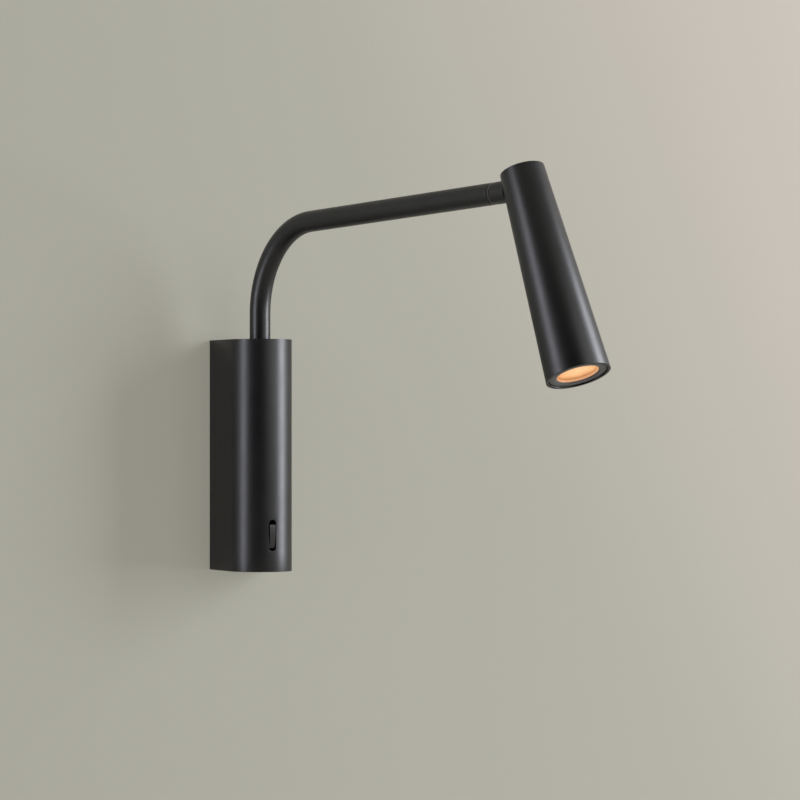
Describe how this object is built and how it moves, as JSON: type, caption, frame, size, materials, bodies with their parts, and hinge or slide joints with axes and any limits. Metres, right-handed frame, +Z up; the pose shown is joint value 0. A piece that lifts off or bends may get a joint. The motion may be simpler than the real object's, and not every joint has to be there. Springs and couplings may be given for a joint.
{
  "type": "wall reading lamp",
  "caption": "Black wall-mounted reading lamp: D-shaped wall box with rocker switch, bent swinging tube arm and a tapered tilting spot head.",
  "frame": {"origin": "middle of the wall box's back, on the wall", "axes": "+Y into the wall, +Z up, X along the wall; the lamp stands out towards -Y"},
  "size_m": [0.0966, 0.3229, 0.2227],
  "materials": {
    "satin_black_paint": "satin powder coat",
    "dark_grey_paint": "matt paint",
    "dark_chrome": "polished, dark plated",
    "black_screw": "black oxide",
    "zinc_steel": "zinc plated",
    "spring_steel": "bright",
    "black_rubber": "matt",
    "brass": "turned",
    "white_nylon": "moulded",
    "white_plastic": "moulded",
    "green_board": "solder mask",
    "white_board": "solder mask",
    "dark_component": "moulded",
    "black_plastic": "moulded",
    "brown_wire": "insulation",
    "blue_wire": "insulation",
    "green_wire": "insulation",
    "black_lead": "sheath",
    "cast_aluminium": "machined",
    "bare_aluminium": "machined",
    "phosphor": "silicone over chips",
    "mirror_coat": "vacuum coated",
    "frosted_glass": "frosted"
  },
  "bodies": {
    "base": {"housing": "satin_black_paint", "top_cap": "satin_black_paint", "bottom_cap": "satin_black_paint", "housing_screws": "black_screw", "wall_plate": "zinc_steel", "cable_grommet": "black_rubber", "earth_screw": "brass", "terminal_block": "white_nylon", "terminal_sleeves": "brass", "terminal_screws": "zinc_steel", "driver_case": "white_plastic", "driver_lid": "white_plastic", "driver_board": "green_board", "driver_components": "dark_component", "driver_screws": "zinc_steel", "switch_body": "black_plastic", "switch_terminals": "brass", "switch_bracket": "zinc_steel", "switch_wires": "brown_wire", "neutral_wire": "blue_wire", "earth_wire": "green_wire", "lamp_lead_base": "black_lead", "arm_carrier": "cast_aluminium", "carrier_screws": "zinc_steel", "upper_bush": "white_nylon", "lower_bush": "white_nylon", "thrust_washer": "white_nylon", "spring_washer": "spring_steel"},
    "rocker": {"rocker": "black_plastic"},
    "arm": {"arm_tube": "satin_black_paint", "arm_shoulder": "brass", "arm_retainer": "zinc_steel", "retainer_screw": "spring_steel", "arm_stop_pin": "spring_steel", "arm_lead": "black_lead", "end_bush": "brass", "roll_stop_pin": "spring_steel", "swivel_ring": "dark_chrome"},
    "swivel": {"knuckle": "satin_black_paint", "roll_washer": "white_nylon", "roll_nut": "brass", "knuckle_lead": "black_lead"},
    "head": {"head_shell": "satin_black_paint", "head_cap": "satin_black_paint", "head_yoke": "cast_aluminium", "tilt_pins": "spring_steel", "tilt_washers": "white_nylon", "yoke_screw": "black_screw", "heat_sink": "bare_aluminium", "led_board": "white_board", "led_emitter": "phosphor", "board_screws": "zinc_steel", "reflector": "mirror_coat", "lens": "frosted_glass", "lens_gasket": "black_rubber", "front_ring": "dark_grey_paint", "head_lead": "black_lead"}
  },
  "joints": [
    {"name": "rocker_tip", "type": "hinge", "parent": "base", "child": "rocker", "pos_m": [0, -0.045, -0.046], "axis": [1, 0, 0], "range_deg": [-12, 0]},
    {"name": "arm_swing", "type": "hinge", "parent": "base", "child": "arm", "pos_m": [0, -0.0318, 0.06], "axis": [0, 0, 1], "range_deg": [-102.5, 77.5]},
    {"name": "head_roll", "type": "hinge", "parent": "arm", "child": "swivel", "pos_m": [0.05211, -0.26686, 0.14151], "axis": [0.2162, -0.9754, 0.0436], "range_deg": [-160, 160]},
    {"name": "head_tilt", "type": "hinge", "parent": "swivel", "child": "head", "pos_m": [0.05211, -0.26686, 0.14151], "axis": [-0.9763, -0.2164, 0], "range_deg": [-20, 67]}
  ]
}
